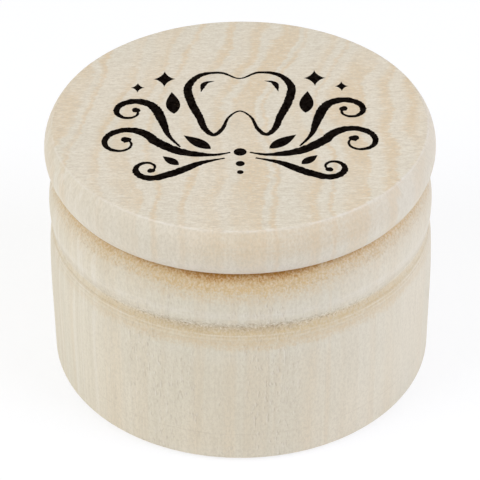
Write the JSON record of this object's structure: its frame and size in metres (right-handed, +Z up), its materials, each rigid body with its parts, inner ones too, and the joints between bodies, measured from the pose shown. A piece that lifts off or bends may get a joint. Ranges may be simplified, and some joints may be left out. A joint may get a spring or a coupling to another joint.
{
  "type": "baby tooth box",
  "caption": "Small round turned wooden keepsake box for milk teeth: a thick bored cup with a groove and a rounded bead at the mouth, closed by a disc lid whose plug pushes into the bore.",
  "frame": {"origin": "middle of the flat base, on the surface that the box stands on", "axes": "+Z up along the turning axis; the box is round, so +X and +Y are free, with -Y towards the viewer in the picture"},
  "size_m": [0.05, 0.05, 0.0354],
  "materials": {
    "body_wood": "turned and sanded, unfinished",
    "lid_wood": "turned and sanded, unfinished, end grain on top",
    "lid_print": "black ink printed flat on the lid"
  },
  "bodies": {
    "box": {"box_body": "body_wood"},
    "lid": {"lid": "lid_wood"}
  },
  "joints": [
    {"name": "lid_lift", "type": "slide", "parent": "box", "child": "lid", "axis": [0, 0, 1], "range_m": [0, 0.04]}
  ]
}
